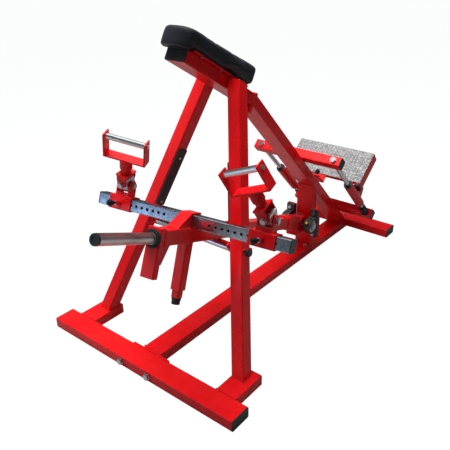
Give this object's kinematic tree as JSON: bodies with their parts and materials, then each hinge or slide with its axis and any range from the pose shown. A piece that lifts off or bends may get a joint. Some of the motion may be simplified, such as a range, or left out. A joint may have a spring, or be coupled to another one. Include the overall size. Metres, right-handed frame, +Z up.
{
  "type": "chest-supported row machine",
  "caption": "Plate-loaded chest-supported row machine: A-frame with sloped chest pad, swinging lever with sliding tilting handles and weight horn, and an adjustable footplate.",
  "frame": {"origin": "on the floor, on the centre line of the spine tube, half way between the weight horn's tip and the rear beam", "axes": "+Y runs from the front cross beam to the rear beam, +Z is up, +X is the right-hand side seen from in front of the weight horn"},
  "size_m": [1.1033, 2.1559, 1.354],
  "materials": {
    "red_paint": "gloss",
    "black_plastic": "satin",
    "black_rubber": "matte",
    "black_vinyl": "satin",
    "board": "matte",
    "plated_steel": "satin",
    "chrome": "polished",
    "satin_steel": "brushed",
    "cast_black": "satin",
    "yellow_plastic": "gloss",
    "aluminium": "satin"
  },
  "bodies": {
    "frame": {"front_beam": "red_paint", "beam_stubs": "red_paint", "tube_caps": "black_plastic", "spine_tube": "red_paint", "flange_plates": "red_paint", "rear_beam": "red_paint", "upright_left": "red_paint", "upright_right": "red_paint", "wear_strips": "black_plastic", "pad_beam": "red_paint", "pad_board": "board", "pad": "black_vinyl", "pad_screws": "plated_steel", "incline_tube": "red_paint", "post": "red_paint", "pillow_blocks": "cast_black", "bearing_inserts": "plated_steel", "grease_caps": "yellow_plastic", "frame_bolts": "plated_steel", "upper_rail_bar": "red_paint", "lower_rail_bar": "red_paint", "guide_rods": "chrome", "rod_bumpers": "black_rubber", "rest_lugs": "red_paint"},
    "stop_swing": {"rest_frame": "red_paint"},
    "stop_lock": {"rest_pin": "black_plastic"},
    "stop_bar": {"rest_roller": "chrome"},
    "carriage": {"carriage_sleeves": "red_paint", "carriage_bushings": "black_plastic", "footplate_frame": "red_paint", "tread_plate": "aluminium", "footplate_caps": "black_plastic"},
    "carriage_pin": {"footplate_pin": "black_plastic"},
    "hub": {"pivot_hub": "red_paint", "pivot_shaft": "plated_steel"},
    "lever": {"lever_arm": "red_paint", "lever_fork": "red_paint", "lever_bolts": "plated_steel", "lever_block": "red_paint", "crossbar_bracket": "red_paint", "crossbar": "chrome", "lever_caps": "black_plastic", "weight_horn": "satin_steel", "horn_collar": "black_rubber", "stop_leg": "red_paint", "stop_inner": "red_paint", "stop_foot": "black_rubber"},
    "slider_body_left": {"slider_left": "red_paint"},
    "lock_left": {"slider_pin_left": "black_plastic"},
    "cross_body_left": {"cross_left": "plated_steel"},
    "clevis_body_left": {"clevis_left": "red_paint"},
    "handle_left": {"yoke_left": "red_paint"},
    "roller_body_left": {"roller_left": "satin_steel"},
    "slider_body_right": {"slider_right": "red_paint"},
    "lock_right": {"slider_pin_right": "black_plastic"},
    "cross_body_right": {"cross_right": "plated_steel"},
    "clevis_body_right": {"clevis_right": "red_paint"},
    "handle_right": {"yoke_right": "red_paint"},
    "roller_body_right": {"roller_right": "satin_steel"}
  },
  "joints": [
    {"name": "lever_lift", "type": "hinge", "parent": "frame", "child": "hub", "pos_m": [0, 0.472, 0.212], "axis": [-1, 0, 0], "range_deg": [0, 10.3]},
    {"name": "lever_yaw", "type": "hinge", "parent": "hub", "child": "lever", "pos_m": [0, 0.472, 0.212], "axis": [0, 0, 1], "range_deg": [-15.4, 0]},
    {"name": "stop_bar_swing", "type": "hinge", "parent": "frame", "child": "stop_swing", "pos_m": [0, -0.366, 0.4885], "axis": [1, 0, 0], "range_deg": [0, 95]},
    {"name": "stop_bar_lock", "type": "slide", "parent": "frame", "child": "stop_lock", "axis": [1, 0, 0], "range_m": [-0.01, 0]},
    {"name": "stop_bar_spin", "type": "hinge", "parent": "stop_swing", "child": "stop_bar", "pos_m": [0, -0.402, 0.4965], "axis": [1, 0, 0], "continuous": true},
    {"name": "footplate_slide", "type": "slide", "parent": "frame", "child": "carriage", "axis": [0, -0.7071, 0.7071], "range_m": [-0.045, 0.18]},
    {"name": "footplate_lock", "type": "slide", "parent": "carriage", "child": "carriage_pin", "axis": [0, 0.7071, 0.7071], "range_m": [-0.01, 0]},
    {"name": "slide_left", "type": "slide", "parent": "lever", "child": "slider_body_left", "axis": [0.991, 0.134, 0], "range_m": [-0.055, 0.22]},
    {"name": "slide_lock_left", "type": "slide", "parent": "slider_body_left", "child": "lock_left", "axis": [0.1255, -0.9282, 0.3502], "range_m": [-0.012, 0]},
    {"name": "handle_pitch_left", "type": "hinge", "parent": "slider_body_left", "child": "cross_body_left", "pos_m": [-0.18406, -0.58294, 0.73991], "axis": [0.991, 0.134, 0], "range_deg": [-52, 16]},
    {"name": "handle_tilt_left", "type": "hinge", "parent": "cross_body_left", "child": "clevis_body_left", "pos_m": [-0.18369, -0.58572, 0.75668], "axis": [-0.1321, 0.9774, 0.165], "range_deg": [-52, 24]},
    {"name": "handle_turn_left", "type": "hinge", "parent": "clevis_body_left", "child": "handle_left", "pos_m": [-0.15678, -0.59873, 0.85525], "axis": [0.2612, -0.1263, 0.957], "range_deg": [-90, 90]},
    {"name": "roller_spin_left", "type": "hinge", "parent": "handle_left", "child": "roller_body_left", "pos_m": [-0.13354, -0.60997, 0.94042], "axis": [0.8989, 0.3931, -0.1935], "continuous": true},
    {"name": "slide_right", "type": "slide", "parent": "lever", "child": "slider_body_right", "axis": [0.991, 0.134, 0], "range_m": [-0.22, 0.055]},
    {"name": "slide_lock_right", "type": "slide", "parent": "slider_body_right", "child": "lock_right", "axis": [0.1255, -0.9282, 0.3502], "range_m": [-0.012, 0]},
    {"name": "handle_pitch_right", "type": "hinge", "parent": "slider_body_right", "child": "cross_body_right", "pos_m": [0.4576, -0.49618, 0.73991], "axis": [0.991, 0.134, 0], "range_deg": [-60, 8]},
    {"name": "handle_tilt_right", "type": "hinge", "parent": "cross_body_right", "child": "clevis_body_right", "pos_m": [0.45828, -0.50125, 0.75612], "axis": [-0.1278, 0.9451, 0.3007], "range_deg": [-15, 61]},
    {"name": "handle_turn_right", "type": "hinge", "parent": "clevis_body_right", "child": "handle_right", "pos_m": [0.42222, -0.53489, 0.84655], "axis": [-0.3501, -0.3267, 0.8779], "range_deg": [-90, 90]},
    {"name": "roller_spin_right", "type": "hinge", "parent": "handle_right", "child": "roller_body_right", "pos_m": [0.39106, -0.56397, 0.92468], "axis": [0.9279, 0.0069, 0.3726], "continuous": true}
  ]
}
